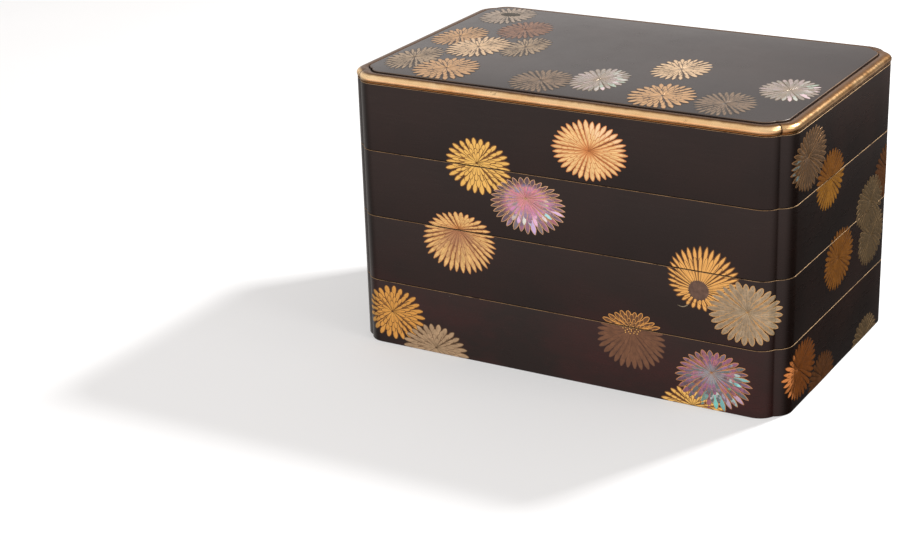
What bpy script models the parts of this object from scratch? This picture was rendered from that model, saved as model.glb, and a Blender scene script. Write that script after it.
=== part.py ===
"""Tiered lacquer writing box: four like trays that stack, and a lid.

Metres, +Z up. The origin is the middle of the underside. +X runs along the box, -Y is its front.
Each tray has a lip standing along the inside of its wall. The tray or lid above has a matching
recess in its underside, so every tray fits on every other and the lid fits on them all.
"""
from math import cos, pi, radians, sin, sqrt

import bmesh
import bpy

# Plan of the box
LENGTH = 0.250
WIDTH = 0.160
LOBE_RADIUS = 0.0105
LOBE_ANGLE = radians(66)
LOBE_NARROWING = 0.4

# Trays
TRAY_HEIGHT = 0.0367
TRAY_NAMES = ("tray_bottom", "tray_lower_middle", "tray_upper_middle", "tray_top")
WALL = 0.0042
FLOOR = 0.0030
FLOOR_FILLET = 0.0030
EDGE_ROUND = 0.0005

# Standing lip of a tray, and the recess that takes it
LIP_THICKNESS = 0.0018
LIP_HEIGHT = 0.0020
LIP_ROUND = 0.0004
LIP_HEADROOM = 0.0004
FIT_GAP = 0.0003
SEAT_GAP = 0.0003

# Lid, its gold bead and its slightly swollen panel
BEAD_WIDTH = 0.0060
BEAD_CROWN = 0.0038
BEAD_HEIGHT = 0.0045
BEAD_DROP = 0.0003
BEAD_WAIST = 0.38
BEAD_FOOT = 0.0004
BEAD_FOOT_INSET = 0.0007
GROOVE_WIDTH = 0.0005
GROOVE_DEPTH = 0.0010
PANEL_STEP = 0.0007
PANEL_RISE = 0.0016
PANEL_SWELL = 4.0

# Fineness of the faceted curves
LOBE_STEPS = 6
ROUND_STEPS = 7
BEAD_STEPS = 4
ROUND_SEGMENTS = 2
FILLET_SEGMENTS = 3
PANEL_CELLS = (20, 14)

# How far a cutter runs past the face that it cuts
CUT_PAST = 0.0020
WELD_DISTANCE = 0.000001
SHARP_ANGLE = radians(30)
BEVEL_ANGLE = radians(60)

# Sizes that follow from the ones above
CUSP_INSET = LOBE_RADIUS * (1 - cos(LOBE_ANGLE))
INNER_RADIUS = (sqrt(2) * CUSP_INSET + WALL - sqrt(2) * WALL) / (sqrt(2) - 1)
LIP_INSET = WALL - LIP_THICKNESS
LIP_RADIUS = INNER_RADIUS + LIP_THICKNESS
RECESS_INSET = LIP_INSET - FIT_GAP
RECESS_RADIUS = LIP_RADIUS + FIT_GAP
RECESS_DEPTH = LIP_HEIGHT + LIP_HEADROOM
TRAY_PITCH = TRAY_HEIGHT + SEAT_GAP
LID_BASE = len(TRAY_NAMES) * TRAY_PITCH
PANEL_INSET = BEAD_WIDTH + GROOVE_WIDTH
PANEL_EDGE_HEIGHT = BEAD_HEIGHT + PANEL_STEP
GROOVE_FLOOR = BEAD_HEIGHT - GROOVE_DEPTH

LACQUER_BROWN = (0.022, 0.012, 0.010, 1.0)
LACQUER_BLACK = (0.012, 0.009, 0.009, 1.0)


def clear_scene():
    for old in list(bpy.data.objects):
        bpy.data.objects.remove(old, do_unlink=True)


def new_collection(name):
    collection = bpy.data.collections.new(name)
    bpy.context.scene.collection.children.link(collection)
    return collection


def new_material(name, colour, roughness, metallic):
    material = bpy.data.materials.new(name)
    material.use_nodes = True
    shader = material.node_tree.nodes["Principled BSDF"]
    shader.inputs["Base Color"].default_value = colour
    shader.inputs["Roughness"].default_value = roughness
    shader.inputs["Metallic"].default_value = metallic
    return material


def mirrored_corners(corner, inset):
    """One corner's points, as distances from the end and from the long side, put at all four corners."""
    half_length = LENGTH / 2 - inset
    half_width = WIDTH / 2 - inset
    backwards = corner[::-1]
    outline = [(half_length - u, half_width - v) for u, v in corner]
    outline += [(u - half_length, half_width - v) for u, v in backwards]
    outline += [(u - half_length, v - half_width) for u, v in corner]
    outline += [(half_length - u, v - half_width) for u, v in backwards]
    return outline


def lobed_outline(inset):
    """Outline with two lobes at each corner, which meet in an inward cusp on the corner's diagonal.

    The lobes of a line further in are a little tighter, so that a moulding keeps its width round them.
    """
    radius = LOBE_RADIUS - LOBE_NARROWING * inset
    reach = radius * (1 + sin(LOBE_ANGLE) - cos(LOBE_ANGLE))
    lobe = []
    for step in range(LOBE_STEPS + 1):
        turn = LOBE_ANGLE * step / LOBE_STEPS
        lobe.append((radius * (1 - cos(turn)), reach - radius * sin(turn)))
    other_lobe = [(v, u) for u, v in reversed(lobe[:-1])]
    return mirrored_corners(lobe + other_lobe, inset)


def rounded_outline(inset, radius):
    """Rectangle with plain round corners, which the inside, the lip and the recess have."""
    corner = []
    for step in range(ROUND_STEPS + 1):
        turn = pi / 2 * step / ROUND_STEPS
        corner.append((radius * (1 - cos(turn)), radius * (1 - sin(turn))))
    return mirrored_corners(corner, inset)


def smooth(mesh):
    mesh.shade_smooth()
    mesh.set_sharp_from_angle(angle=SHARP_ANGLE)


def prism(name, outline, bottom, top, collection):
    """A flat outline as a filled curve, extruded from bottom to top and made a closed mesh."""
    curve = bpy.data.curves.new(name, "CURVE")
    curve.dimensions = "2D"
    curve.fill_mode = "BOTH"
    curve.extrude = (top - bottom) / 2
    spline = curve.splines.new("POLY")
    spline.points.add(len(outline) - 1)
    for point, (x, y) in zip(spline.points, outline):
        point.co = (x, y, 0, 1)
    spline.use_cyclic_u = True
    drawn = bpy.data.objects.new(name + "_outline", curve)
    drawn.location.z = (bottom + top) / 2
    collection.objects.link(drawn)

    depsgraph = bpy.context.evaluated_depsgraph_get()
    mesh = bpy.data.meshes.new_from_object(drawn.evaluated_get(depsgraph))
    mesh.name = name
    welded = bmesh.new()
    welded.from_mesh(mesh)
    bmesh.ops.remove_doubles(welded, verts=welded.verts, dist=WELD_DISTANCE)
    bmesh.ops.recalc_face_normals(welded, faces=welded.faces)
    welded.to_mesh(mesh)
    welded.free()
    mesh.materials.clear()
    smooth(mesh)

    solid = bpy.data.objects.new(name, mesh)
    collection.objects.link(solid)
    solid.matrix_world = drawn.matrix_world
    bpy.data.objects.remove(drawn)
    return solid


def loft(name, sections, collection):
    """Skin over outlines of equally many points, each at its own height, with a flat face at both ends."""
    skin = bmesh.new()
    rings = []
    for outline, height in sections:
        rings.append([skin.verts.new((x, y, height)) for x, y in outline])
    count = len(rings[0])
    for lower, upper in zip(rings, rings[1:]):
        for i in range(count):
            j = (i + 1) % count
            skin.faces.new((lower[i], lower[j], upper[j], upper[i]))
    skin.faces.new(rings[0][::-1])
    skin.faces.new(rings[-1])
    mesh = bpy.data.meshes.new(name)
    skin.to_mesh(mesh)
    skin.free()
    smooth(mesh)
    solid = bpy.data.objects.new(name, mesh)
    collection.objects.link(solid)
    return solid


def make_guide(guide):
    guide.hide_render = True
    guide.display_type = "WIRE"


def add_bevel(solid, width, segments):
    """Rounds the edges between walls and flats, and leaves the upright lines of the faceted corners."""
    bevel = solid.modifiers.new("rounded_edges", "BEVEL")
    bevel.width = width
    bevel.segments = segments
    bevel.limit_method = "ANGLE"
    bevel.angle_limit = BEVEL_ANGLE


def add_boolean(solid, operation, guide):
    make_guide(guide)
    boolean = solid.modifiers.new(guide.name, "BOOLEAN")
    boolean.operation = operation
    boolean.solver = "EXACT"
    boolean.object = guide


def recess_cutter(name, base, cutters):
    """What the lip below stands in, with room over it and round it."""
    outline = rounded_outline(RECESS_INSET, RECESS_RADIUS)
    return prism(name + "_recess", outline, base - CUT_PAST, base + RECESS_DEPTH, cutters)


def make_tray(name, base, parts, cutters, material):
    tray = prism(name, lobed_outline(0), base, base + TRAY_HEIGHT, parts)
    tray.data.materials.append(material)
    add_bevel(tray, EDGE_ROUND, ROUND_SEGMENTS)

    lip_foot = base + RECESS_DEPTH + FLOOR
    lip_top = base + TRAY_HEIGHT + LIP_HEIGHT
    lip = prism(name + "_lip", rounded_outline(LIP_INSET, LIP_RADIUS), lip_foot, lip_top, cutters)
    add_bevel(lip, LIP_ROUND, ROUND_SEGMENTS)
    add_boolean(tray, "UNION", lip)

    floor_top = base + RECESS_DEPTH + FLOOR
    cavity_top = lip_top + FLOOR_FILLET + CUT_PAST
    cavity = prism(name + "_cavity", rounded_outline(WALL, INNER_RADIUS), floor_top, cavity_top, cutters)
    add_bevel(cavity, FLOOR_FILLET, FILLET_SEGMENTS)
    add_boolean(tray, "DIFFERENCE", cavity)

    add_boolean(tray, "DIFFERENCE", recess_cutter(name, base, cutters))
    return tray


def bead_sections():
    """The bead's profile as pairs of inset and height over the lid's underside.

    A narrow set-back foot, a lower quarter round that leans in to it, a longer upper quarter round up to
    the crown, and a slight fall from there to the groove along the panel.
    """
    waist = BEAD_FOOT + (BEAD_HEIGHT - BEAD_FOOT) * BEAD_WAIST
    profile = [(BEAD_FOOT_INSET, 0.0)]
    for step in range(BEAD_STEPS):
        turn = pi / 2 * step / BEAD_STEPS
        inset = BEAD_FOOT_INSET * (1 - sin(turn))
        profile.append((inset, waist - (waist - BEAD_FOOT) * cos(turn)))
    for step in range(BEAD_STEPS + 1):
        turn = pi / 2 * step / BEAD_STEPS
        profile.append((BEAD_CROWN * (1 - cos(turn)), waist + (BEAD_HEIGHT - waist) * sin(turn)))
    profile.append((BEAD_WIDTH, BEAD_HEIGHT - BEAD_DROP))
    profile.append((BEAD_WIDTH, GROOVE_FLOOR))
    return profile


def swollen_block(name, base, collection):
    """A block whose top is the panel's swollen surface: level along its edges and highest in the middle."""
    half_length = LENGTH / 2 - PANEL_INSET
    half_width = WIDTH / 2 - PANEL_INSET
    surface = bmesh.new()
    bmesh.ops.create_grid(surface, x_segments=PANEL_CELLS[0], y_segments=PANEL_CELLS[1], size=1)
    for point in surface.verts:
        along = max(0.0, 1 - abs(point.co.x) ** PANEL_SWELL)
        across = max(0.0, 1 - abs(point.co.y) ** PANEL_SWELL)
        point.co.x *= half_length + CUT_PAST
        point.co.y *= half_width + CUT_PAST
        point.co.z = base + PANEL_EDGE_HEIGHT + PANEL_RISE * along * across
    mesh = bpy.data.meshes.new(name)
    surface.to_mesh(mesh)
    surface.free()
    smooth(mesh)
    block = bpy.data.objects.new(name, mesh)
    collection.objects.link(block)
    thickness = block.modifiers.new("thickness", "SOLIDIFY")
    thickness.thickness = PANEL_EDGE_HEIGHT + CUT_PAST
    thickness.offset = -1
    return block


def make_lid(name, base, parts, cutters, material):
    sections = [(lobed_outline(inset), base + height) for inset, height in bead_sections()]
    lid = loft(name, sections, parts)
    lid.data.materials.append(material)

    panel_foot = base + RECESS_DEPTH
    panel_top = base + PANEL_EDGE_HEIGHT + PANEL_RISE + CUT_PAST
    panel = prism(name + "_panel", lobed_outline(PANEL_INSET), panel_foot, panel_top, cutters)
    add_boolean(panel, "INTERSECT", swollen_block(name + "_swell", base, cutters))
    add_boolean(lid, "UNION", panel)

    add_boolean(lid, "DIFFERENCE", recess_cutter(name, base, cutters))
    return lid


def main():
    clear_scene()
    parts = new_collection("tiered_lacquer_writing_box")
    cutters = new_collection("cutters")
    tray_lacquer = new_material("tray_lacquer", LACQUER_BROWN, 0.16, 0.0)
    lid_lacquer = new_material("lid_lacquer", LACQUER_BLACK, 0.12, 0.0)
    for level, name in enumerate(TRAY_NAMES):
        make_tray(name, level * TRAY_PITCH, parts, cutters, tray_lacquer)
    make_lid("lid", LID_BASE, parts, cutters, lid_lacquer)


main()
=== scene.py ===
"""Looks of the tiered lacquer writing box: lacquer, gold bead, gold lines and chrysanthemum heads."""
import random
from math import cos, hypot, pi, radians, sin, sqrt

import bmesh
import bpy
from mathutils import Matrix, Vector


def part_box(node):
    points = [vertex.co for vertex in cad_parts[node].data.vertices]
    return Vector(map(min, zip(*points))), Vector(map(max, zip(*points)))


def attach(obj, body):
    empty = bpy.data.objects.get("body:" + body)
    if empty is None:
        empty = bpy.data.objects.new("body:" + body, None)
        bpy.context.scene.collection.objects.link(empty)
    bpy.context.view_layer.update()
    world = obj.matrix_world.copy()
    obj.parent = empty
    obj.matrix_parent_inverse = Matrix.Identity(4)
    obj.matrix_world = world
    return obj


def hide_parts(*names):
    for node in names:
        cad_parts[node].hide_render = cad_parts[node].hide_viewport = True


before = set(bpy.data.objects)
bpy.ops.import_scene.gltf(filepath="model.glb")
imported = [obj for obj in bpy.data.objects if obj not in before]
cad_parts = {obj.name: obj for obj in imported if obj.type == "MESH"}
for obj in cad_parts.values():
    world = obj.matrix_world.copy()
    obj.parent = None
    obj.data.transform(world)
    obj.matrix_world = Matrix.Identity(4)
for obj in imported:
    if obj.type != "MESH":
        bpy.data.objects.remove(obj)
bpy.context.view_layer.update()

MM = 0.001

# Plan of the box, from the frame
TRAY_NAMES = ("tray_bottom", "tray_lower_middle", "tray_upper_middle", "tray_top")
plan_low, plan_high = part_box("tray_bottom")
LENGTH = plan_high.x - plan_low.x
WIDTH = plan_high.y - plan_low.y
LOBE_RADIUS = 10.5 * MM
LOBE_ANGLE = radians(66)
LOBE_NARROWING = 0.4

# Trays
WALL = 4.2 * MM
FLOOR = 3.0 * MM
FLOOR_FILLET = 3.0 * MM
LIP_THICKNESS = 1.8 * MM
LIP_HEIGHT = 2.0 * MM
LIP_ROUND = 0.4 * MM
LIP_HEADROOM = 0.4 * MM
FIT_GAP = 0.3 * MM
RECESS_CHAMFER = 0.2 * MM
FILLET_STEPS = 6

# Room inside the CAD outline for the raised lacquer work
RELIEF_ROOM = 0.3 * MM
FINE_EDGE = 0.18 * MM
GOLD_LINE = 0.06 * MM

# Lid
BEAD_WIDTH = 6.0 * MM
BEAD_CROWN = 3.8 * MM
BEAD_HEIGHT = 4.5 * MM
BEAD_DROP = 0.3 * MM
BEAD_WAIST = 0.38
BEAD_FOOT = 0.4 * MM
BEAD_FOOT_INSET = 0.7 * MM
BEAD_INNER_EDGE = 0.25 * MM
GROOVE_WIDTH = 0.5 * MM
GROOVE_DEPTH = 1.0 * MM
PANEL_STEP = 0.7 * MM
PANEL_RISE = 1.6 * MM
PANEL_SWELL = 4.0
PANEL_ROUND = 0.35 * MM
PANEL_ROUND_STEPS = 3
PANEL_RINGS = (
    0.996, 0.988, 0.975, 0.955, 0.93, 0.90, 0.86, 0.81, 0.75, 0.68, 0.60, 0.51, 0.41, 0.30, 0.18, 0.08,
)

# Fineness
LOBE_STEPS = 14
LONG_STEPS = 16
SHORT_STEPS = 10
ROUND_STEPS = 4
BEAD_STEPS = 8

# Sizes that follow
CUSP_INSET = LOBE_RADIUS * (1 - cos(LOBE_ANGLE))
INNER_RADIUS = (sqrt(2) * CUSP_INSET + WALL - sqrt(2) * WALL) / (sqrt(2) - 1)
LIP_INSET = WALL - LIP_THICKNESS
LIP_RADIUS = INNER_RADIUS + LIP_THICKNESS
RECESS_INSET = LIP_INSET - FIT_GAP
RECESS_RADIUS = LIP_RADIUS + FIT_GAP
RECESS_DEPTH = LIP_HEIGHT + LIP_HEADROOM
PANEL_INSET = BEAD_WIDTH + GROOVE_WIDTH
PANEL_EDGE_HEIGHT = BEAD_HEIGHT + PANEL_STEP
GROOVE_FLOOR = BEAD_HEIGHT - GROOVE_DEPTH
LID_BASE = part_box("lid")[0].z


def paint(red, green, blue):
    """A display colour from 0 to 255 as the linear colour that the shader wants."""
    linear = []
    for value in (red, green, blue):
        value /= 255
        linear.append(value / 12.92 if value < 0.04045 else ((value + 0.055) / 1.055) ** 2.4)
    return (*linear, 1.0)


# Materials

DUST = paint(120, 112, 104)
RED_LACQUER = paint(54, 13, 12)
BROWN_GROUND = paint(70, 45, 25)
CHIPPED_GROUND = paint(60, 42, 34)
BARE_AND_SHADED_RIM = paint(74, 66, 66)
RIGHT_END_SHADE = paint(136, 92, 44)
CREASE_SHADE = paint(52, 30, 16)
RED_TOP = 70 * MM
CREASE_HALF = 1.1 * MM
CREASE_DARK = 0.2 * MM
MARK_DEPTH = 0.2 * MM
GRAIN_DEPTH = 0.1 * MM
RUBBED_ALONG = (1, 1, 14)

# Painted light over the bead's bright gold: shade at the foot, a dark reflection on the inner side
# and shade at the groove's edge. Where each starts and is full, from 0 at the foot to 1 inside
BEAD_PAINTED_SHADES = (
    (0.24, 0.08, paint(150, 106, 60)),
    (0.42, 0.58, paint(96, 62, 24)),
    (0.88, 0.96, paint(60, 36, 20)),
)


def set_socket(tree, socket, value):
    """Links another node's output to a socket, or gives the socket a fixed value."""
    if isinstance(value, bpy.types.NodeSocket):
        tree.links.new(value, socket)
    else:
        socket.default_value = value


def feed(tree, target, values):
    for key, value in values.items():
        set_socket(tree, target.inputs[key], value)


def node(tree, kind, values=None, **settings):
    made = tree.nodes.new(kind)
    for key, value in settings.items():
        setattr(made, key, value)
    feed(tree, made, values or {})
    return made


def blank_material(name):
    material = bpy.data.materials.new(name)
    material.use_nodes = True
    tree = material.node_tree
    return material, tree, tree.nodes["Principled BSDF"]


def opened(material):
    """A material's node tree and shader, and the colour that the shader has so far."""
    tree = material.node_tree
    shader = tree.nodes["Principled BSDF"]
    return tree, shader, shader.inputs["Base Color"].links[0].from_socket


def place(tree, stretch=(1, 1, 1)):
    where = node(tree, "ShaderNodeTexCoord").outputs["Object"]
    return node(tree, "ShaderNodeMapping", {"Vector": where, "Scale": stretch}).outputs["Vector"]


def place_parts(tree, coordinate="Object"):
    """X, Y and Z of a place on the object, or of a direction in the world."""
    where = node(tree, "ShaderNodeTexCoord").outputs[coordinate]
    return node(tree, "ShaderNodeSeparateXYZ", {"Vector": where}).outputs


def mesh_value(tree, name):
    return node(tree, "ShaderNodeAttribute", attribute_name=name).outputs["Fac"]


def noise(tree, scale, detail=4.0, roughness=0.55, stretch=(1, 1, 1)):
    values = {"Vector": place(tree, stretch), "Scale": scale, "Detail": detail, "Roughness": roughness}
    return node(tree, "ShaderNodeTexNoise", values).outputs["Fac"]


def spread(tree, value, low, high, to_low=0.0, to_high=1.0):
    values = {"Value": value, "From Min": low, "From Max": high, "To Min": to_low, "To Max": to_high}
    return node(tree, "ShaderNodeMapRange", values).outputs["Result"]


def mottle(tree, scale, detail, amount, roughness=0.55):
    """Noise that goes from minus the amount to the amount."""
    return spread(tree, noise(tree, scale, detail, roughness), 0.3, 0.7, -amount, amount)


def maths(tree, operation, first, second=0.0):
    return node(tree, "ShaderNodeMath", {0: first, 1: second}, operation=operation).outputs["Value"]


def times(tree, first, second):
    return maths(tree, "MULTIPLY", first, second)


def plus(tree, first, second):
    return maths(tree, "ADD", first, second)


def blend(tree, factor, first, second):
    made = node(tree, "ShaderNodeMix", data_type="RGBA")
    sockets = {socket.identifier: socket for socket in made.inputs}
    for key, value in (("Factor_Float", factor), ("A_Color", first), ("B_Color", second)):
        set_socket(tree, sockets[key], value)
    return next(socket for socket in made.outputs if socket.identifier == "Result_Color")


def bump(tree, height, strength, distance):
    values = {"Height": height, "Strength": strength, "Distance": distance}
    return node(tree, "ShaderNodeBump", values).outputs["Normal"]


def lacquer_material(name, dark, warm, roughness, ior):
    """Polished lacquer: cloudy tint, fine rubbing marks and a few pale specks of dust."""
    material, tree, shader = blank_material(name)
    body = blend(tree, spread(tree, noise(tree, 18, 5), 0.42, 0.72), dark, warm)
    cells = node(tree, "ShaderNodeTexVoronoi", {"Vector": place(tree), "Scale": 130.0})
    dot = maths(tree, "LESS_THAN", cells.outputs["Distance"], 0.035)
    speck = times(tree, dot, spread(tree, noise(tree, 45, 2), 0.60, 0.66, 0.0, 0.55))
    body = blend(tree, speck, body, DUST)
    rubbed = noise(tree, 60, 6, 0.7, RUBBED_ALONG)
    feed(tree, shader, {
        "Base Color": body,
        "Roughness": spread(tree, rubbed, 0.3, 0.7, roughness - 0.035, roughness + 0.045),
        "IOR": ior,
        "Normal": bump(tree, rubbed, 0.06, MARK_DEPTH),
    })
    return material


def outer_lacquer_material(name):
    """The walls' brown-black lacquer, reddish in patches low on the front."""
    material = lacquer_material(name, paint(19, 10, 7), paint(30, 15, 10), 0.29, 1.42)
    tree, shader, body = opened(material)
    parts = place_parts(tree)
    low = spread(tree, parts["Z"], RED_TOP, 0.0)
    front = spread(tree, parts["Y"], -WIDTH / 2 + 10 * MM, -WIDTH / 2 + 1 * MM)
    patch = spread(tree, noise(tree, 14, 4, 0.6, (1, 1, 2)), 0.44, 0.66)
    red = times(tree, times(tree, low, front), patch)
    feed(tree, shader, {"Base Color": blend(tree, red, body, RED_LACQUER)})
    return material


def gold_material(name, bright, dark, roughness, wear=(0.52, 0.66)):
    """Burnished gold ground with cloudy tone and small places rubbed through to the lacquer."""
    material, tree, shader = blank_material(name)
    tone = blend(tree, spread(tree, noise(tree, 55, 5), 0.3, 0.7), bright, dark)
    fine = noise(tree, 420, 4, 0.7)
    rubbed = spread(tree, noise(tree, 160, 6, 0.7), wear[0], wear[1])
    feed(tree, shader, {
        "Base Color": blend(tree, rubbed, tone, BROWN_GROUND),
        "Metallic": spread(tree, rubbed, 0.0, 1.0, 0.9, 0.35),
        "Roughness": spread(tree, fine, 0.3, 0.7, roughness - 0.05, roughness + 0.08),
        "Normal": bump(tree, fine, 0.12, MARK_DEPTH),
    })
    return material


def bead_material(name):
    """The bead's gold, tone by tone over its profile, with painted light.

    It has painted shade at the foot, is bright on the outer round, has a painted dark reflection on the
    inner side, painted shade over the right end and painted shade in the creases of the corners.
    """
    material = gold_material(name, paint(255, 222, 172), paint(236, 190, 132), 0.27, (0.62, 0.76))
    tree, shader, body = opened(material)
    ragged = plus(tree, mesh_value(tree, "across"), mottle(tree, 240, 4, 0.025))
    # Painted shade at the foot and at the groove's edge, and a painted dark reflection on the inner side
    for start, end, colour in BEAD_PAINTED_SHADES:
        body = blend(tree, spread(tree, ragged, start, end), body, colour)
    parts = place_parts(tree)
    # Painted shade: the bead darkens towards its right end
    right_end = spread(tree, parts["X"], LENGTH / 2 - 15 * MM, LENGTH / 2 - 3 * MM)
    right_end_shade_mask = times(tree, right_end, spread(tree, noise(tree, 70, 4), 0.3, 0.7, 0.4, 0.9))
    body = blend(tree, right_end_shade_mask, body, RIGHT_END_SHADE)
    # Painted shade in the creases where the corners' lobes meet
    from_end = maths(tree, "SUBTRACT", LENGTH / 2, maths(tree, "ABSOLUTE", parts["X"]))
    from_side = maths(tree, "SUBTRACT", WIDTH / 2, maths(tree, "ABSOLUTE", parts["Y"]))
    off_crease = maths(tree, "ABSOLUTE", maths(tree, "SUBTRACT", from_end, from_side))
    crease = spread(tree, off_crease, CREASE_HALF, CREASE_DARK)
    feed(tree, shader, {"Base Color": blend(tree, crease, body, CREASE_SHADE)})
    return material


def petal_material(
    name, fill, line, fill_metal=0.8, line_metal=0.3, roughness=0.42, line_width=0.26, clouds=0.25,
    specular=0.5, shade=None, painted_highlight=None, painted_highlight_from=0.6, worn=None, worn_reach=(0.0, 0.0), vein=None,
):
    """Petals with drawn outlines. Fill is a colour, or the tones of a shell.

    The mesh's own petal data gives the place in each petal.

    Red is the distance from the outline in millimetres, green runs from root to tip, blue is a
    number for each petal, and alpha is the distance from the flower's centre, 1 at its rim.
    Ribs is 0 along a petal's middle, and glance is largest on the side that catches the light.
    Shade paints shade on a petal's sides and painted_highlight paints a highlight on the glancing side.
    Worn colours the rubbed middle of the flower, and vein a petal's own middle.
    """
    material, tree, shader = blank_material(name)
    data = node(tree, "ShaderNodeAttribute", attribute_name="petal")
    parts = node(tree, "ShaderNodeSeparateColor", {"Color": data.outputs["Color"]})
    edge, along, chance = (parts.outputs[k] for k in ("Red", "Green", "Blue"))
    reach = data.outputs["Alpha"]
    ribs = mesh_value(tree, "ribs")
    glance = mesh_value(tree, "glance")
    if isinstance(fill, dict):
        body = shell_colours(tree, fill, reach, chance, glance)
    else:
        fill = paint(*fill)
        darker = tuple(c * (1 - 1.6 * clouds) for c in fill[:3]) + (1.0,)
        body = blend(tree, spread(tree, noise(tree, 300, 4), 0.35, 0.75), fill, darker)
        body = blend(tree, times(tree, chance, clouds), body, darker)
    # Painted highlight on the petals that face the light
    if painted_highlight:
        lit = plus(tree, glance, mottle(tree, 200, 3, 0.1))
        body = blend(tree, spread(tree, lit, painted_highlight_from, painted_highlight_from + 0.25), body, paint(*painted_highlight))
    if shade:
        body = blend(tree, spread(tree, edge, 0.75, 0.15), body, paint(*shade))
    if worn:
        ragged = plus(tree, plus(tree, reach, times(tree, chance, 0.35)), mottle(tree, 500, 3, 0.12, 0.7))
        rubbed = spread(tree, ragged, worn_reach[1], worn_reach[0])
        rubbed = times(tree, rubbed, spread(tree, glance, 0.3, 0.5))
        rubbed = times(tree, rubbed, spread(tree, ribs, 0.05, 0.40, 0.55, 1.0))
        body = blend(tree, rubbed, body, paint(*worn))
    if vein:
        stripe = spread(tree, ribs, 0.06, 0.24, 0.85, 0.0)
        stripe = times(tree, stripe, spread(tree, noise(tree, 900, 2), 0.42, 0.5))
        stripe = times(tree, stripe, spread(tree, along, 0.25, 0.4))
        body = blend(tree, stripe, body, paint(*vein))
    by_ring = spread(tree, reach, 0.05, 0.40, 0.35, 1.0)
    drawn = times(tree, by_ring, spread(tree, along, 0.5, 0.8, 0.8, 1.8))
    rim = spread(tree, maths(tree, "DIVIDE", edge, drawn), line_width * 0.6, line_width, 1.0, 0.0)
    body = blend(tree, rim, body, paint(*line))
    chipped = spread(tree, noise(tree, 700, 4, 0.75), 0.72, 0.84)
    metal = spread(tree, rim, 0.0, 1.0, fill_metal, line_metal)
    grain = noise(tree, 1500, 3, 0.7)
    feed(tree, shader, {
        "Base Color": blend(tree, chipped, body, CHIPPED_GROUND),
        "Metallic": times(tree, metal, spread(tree, chipped, 0.0, 1.0, 1.0, 0.2)),
        "Roughness": spread(tree, grain, 0.3, 0.7, roughness - 0.06, roughness + 0.10),
        "Specular IOR Level": specular,
        "Normal": bump(tree, grain, 0.25, GRAIN_DEPTH),
    })
    return material


def ramp(tree, factor, shades):
    """Even steps through a row of colours."""
    made = node(tree, "ShaderNodeValToRGB", {"Fac": factor})
    stops = made.color_ramp.elements
    for i in range(len(shades) - 2):
        stops.new(0.5)
    for i, tint in enumerate(shades):
        stops[i].position = i / (len(shades) - 1)
        stops[i].color = paint(*tint)
    return made.outputs["Color"]


def shell_colours(tree, tones, reach, chance, glance):
    """Mother-of-pearl: a tint to each petal and one round the centre, with painted light.

    Rims are darker and barer, and darker still on the side turned from the light, which is painted shade.
    A few rim petals on the lit side get painted glints.
    """
    drift = mottle(tree, 330, 4, 0.16, 0.65)
    drifting_reach = plus(tree, reach, drift)
    body = ramp(tree, plus(tree, chance, drift), tones["tints"])
    body = blend(tree, spread(tree, drifting_reach, 0.42, 0.16, 0.0, 0.85), body, paint(*tones["centre"]))
    # Rims darken towards bare shell, and more on the side turned from the light: painted shade
    bare_and_shaded = spread(tree, reach, 0.50, 0.72)
    bare_and_shaded = times(tree, bare_and_shaded, spread(tree, glance, 0.75, 0.45, 0.55, 1.0))
    body = blend(tree, times(tree, bare_and_shaded, tones["bareness_and_rim_shade"]), body, BARE_AND_SHADED_RIM)
    # Painted glints on a few rim petals on the side that catches the light
    again = maths(tree, "FRACT", times(tree, chance, 7.3))
    picked = spread(tree, plus(tree, again, drift), 0.55, 0.66)
    picked = times(tree, picked, spread(tree, drifting_reach, 0.42, 0.60))
    picked = times(tree, picked, spread(tree, glance, 0.50, 0.72))
    glint_colour = ramp(tree, maths(tree, "FRACT", times(tree, chance, 3.1)), tones["painted_glints"])
    return blend(tree, picked, body, glint_colour)


FLOOR_GLOW = 0.40
FLOOR_HALF = 4.0
FLOOR_DROP = 0.1 * MM


def floor_material():
    material, tree, shader = blank_material("studio_floor")
    tone = spread(tree, noise(tree, 3, 3), 0.3, 0.7)
    feed(tree, shader, {
        "Base Color": blend(tree, tone, (0.46, 0.46, 0.46, 1), (0.44, 0.44, 0.44, 1)),
        "Roughness": 0.8,
        "Specular IOR Level": 0.1,
        "Emission Color": (1, 1, 1, 1),
        "Emission Strength": FLOOR_GLOW,
    })
    return material


# Outlines and lofts


def outline_from_corner(corner, inset):
    """One corner's points, as distances from the end and the long side, at all four corners."""
    half_length = LENGTH / 2 - inset
    half_width = WIDTH / 2 - inset
    backwards = corner[::-1]
    corners = (
        [(half_length - u, half_width - v) for u, v in corner],
        [(u - half_length, half_width - v) for u, v in backwards],
        [(u - half_length, v - half_width) for u, v in corner],
        [(half_length - u, v - half_width) for u, v in backwards],
    )
    outline = []
    for i, points in enumerate(corners):
        outline += points
        start = points[-1]
        end = corners[(i + 1) % 4][0]
        steps = SHORT_STEPS if i % 2 else LONG_STEPS
        for k in range(1, steps):
            outline.append(tuple(a + (b - a) * k / steps for a, b in zip(start, end)))
    return outline


def lobed_outline(inset):
    radius = LOBE_RADIUS - LOBE_NARROWING * inset
    reach = radius * (1 + sin(LOBE_ANGLE) - cos(LOBE_ANGLE))
    lobe = []
    for step in range(LOBE_STEPS + 1):
        turn = LOBE_ANGLE * step / LOBE_STEPS
        lobe.append((radius * (1 - cos(turn)), reach - radius * sin(turn)))
    return outline_from_corner(lobe + [(v, u) for u, v in reversed(lobe[:-1])], inset)


def rounded_outline(inset, radius):
    corner = []
    for step in range(2 * LOBE_STEPS + 1):
        turn = pi / 4 * step / LOBE_STEPS
        corner.append((radius * (1 - cos(turn)), radius * (1 - sin(turn))))
    return outline_from_corner(corner, inset)


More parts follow.
